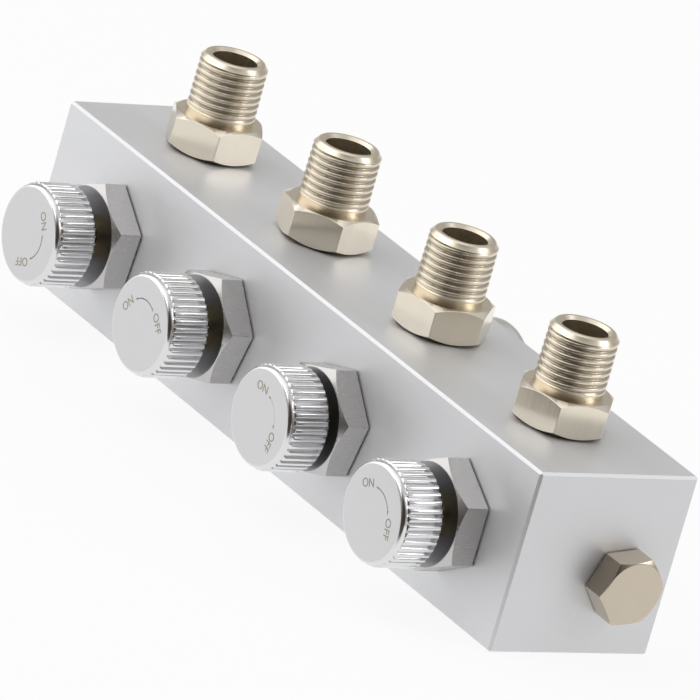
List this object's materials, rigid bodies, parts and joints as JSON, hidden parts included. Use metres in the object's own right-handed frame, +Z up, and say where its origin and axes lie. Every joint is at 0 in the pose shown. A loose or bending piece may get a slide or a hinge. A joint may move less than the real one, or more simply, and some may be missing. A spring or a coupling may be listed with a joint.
{
  "type": "air manifold block",
  "caption": "Square aluminium air manifold bar with knurled screw valves in front, threaded outlet nipples on top, a hexagon end plug and a rear inlet fitting.",
  "frame": {"origin": "centre of the bar's underside", "axes": "+X along the bar towards the hexagon end plug, +Y towards the rear inlet, +Z up through the outlets"},
  "size_m": [0.1705, 0.0696, 0.0539],
  "materials": {
    "block_aluminium": "satin",
    "nickel": "nickel plated",
    "bonnet_chrome": "chrome plated",
    "knob_chrome": "satin face, bright grip",
    "stem_brass": "turned",
    "seat_plastic": "matte",
    "seal_rubber": "matte"
  },
  "bodies": {
    "manifold": {"manifold_block": "block_aluminium", "outlet_nipple_1": "nickel", "outlet_nipple_2": "nickel", "outlet_nipple_3": "nickel", "outlet_nipple_4": "nickel", "outlet_washers": "seal_rubber", "valve_bonnet_1": "bonnet_chrome", "valve_bonnet_2": "bonnet_chrome", "valve_bonnet_3": "bonnet_chrome", "valve_bonnet_4": "bonnet_chrome", "bonnet_washers": "seal_rubber", "stem_rings": "seal_rubber", "end_plug": "nickel", "end_plug_washer": "seal_rubber", "inlet_fitting": "bonnet_chrome", "inlet_washer": "seal_rubber"},
    "disc_1": {"seat_disc_1": "seat_plastic"},
    "knob_1": {"valve_stem_1": "stem_brass", "valve_knob_1": "knob_chrome"},
    "disc_2": {"seat_disc_2": "seat_plastic"},
    "knob_2": {"valve_stem_2": "stem_brass", "valve_knob_2": "knob_chrome"},
    "disc_3": {"seat_disc_3": "seat_plastic"},
    "knob_3": {"valve_stem_3": "stem_brass", "valve_knob_3": "knob_chrome"},
    "disc_4": {"seat_disc_4": "seat_plastic"},
    "knob_4": {"valve_stem_4": "stem_brass", "valve_knob_4": "knob_chrome"}
  },
  "joints": [
    {"name": "valve_1_lift", "type": "slide", "parent": "manifold", "child": "disc_1", "axis": [0, -1, 0], "range_m": [-0.0024, 0.0006]},
    {"name": "valve_1_turn", "type": "hinge", "parent": "disc_1", "child": "knob_1", "pos_m": [-0.0594, -0.0175, 0.0172], "axis": [0, -1, 0], "range_deg": [-864.5, 216.5]},
    {"name": "valve_2_lift", "type": "slide", "parent": "manifold", "child": "disc_2", "axis": [0, -1, 0], "range_m": [-0.0022, 0.0008]},
    {"name": "valve_2_turn", "type": "hinge", "parent": "disc_2", "child": "knob_2", "pos_m": [-0.019, -0.0175, 0.0172], "axis": [0, -1, 0], "range_deg": [-792.5, 288.5]},
    {"name": "valve_3_lift", "type": "slide", "parent": "manifold", "child": "disc_3", "axis": [0, -1, 0], "range_m": [-0.001, 0.002]},
    {"name": "valve_3_turn", "type": "hinge", "parent": "disc_3", "child": "knob_3", "pos_m": [0.0214, -0.0175, 0.0172], "axis": [0, -1, 0], "range_deg": [-360.5, 720.5]},
    {"name": "valve_4_lift", "type": "slide", "parent": "manifold", "child": "disc_4", "axis": [0, -1, 0], "range_m": [-0.0021, 0.0009]},
    {"name": "valve_4_turn", "type": "hinge", "parent": "disc_4", "child": "knob_4", "pos_m": [0.0618, -0.0175, 0.0172], "axis": [0, -1, 0], "range_deg": [-756.5, 324.5]}
  ],
  "couplings": [
    {"joint": "valve_1_turn", "follows": "valve_1_lift", "rad_per_m": 6283.2},
    {"joint": "valve_2_turn", "follows": "valve_2_lift", "rad_per_m": 6283.2},
    {"joint": "valve_3_turn", "follows": "valve_3_lift", "rad_per_m": 6283.2},
    {"joint": "valve_4_turn", "follows": "valve_4_lift", "rad_per_m": 6283.2}
  ]
}
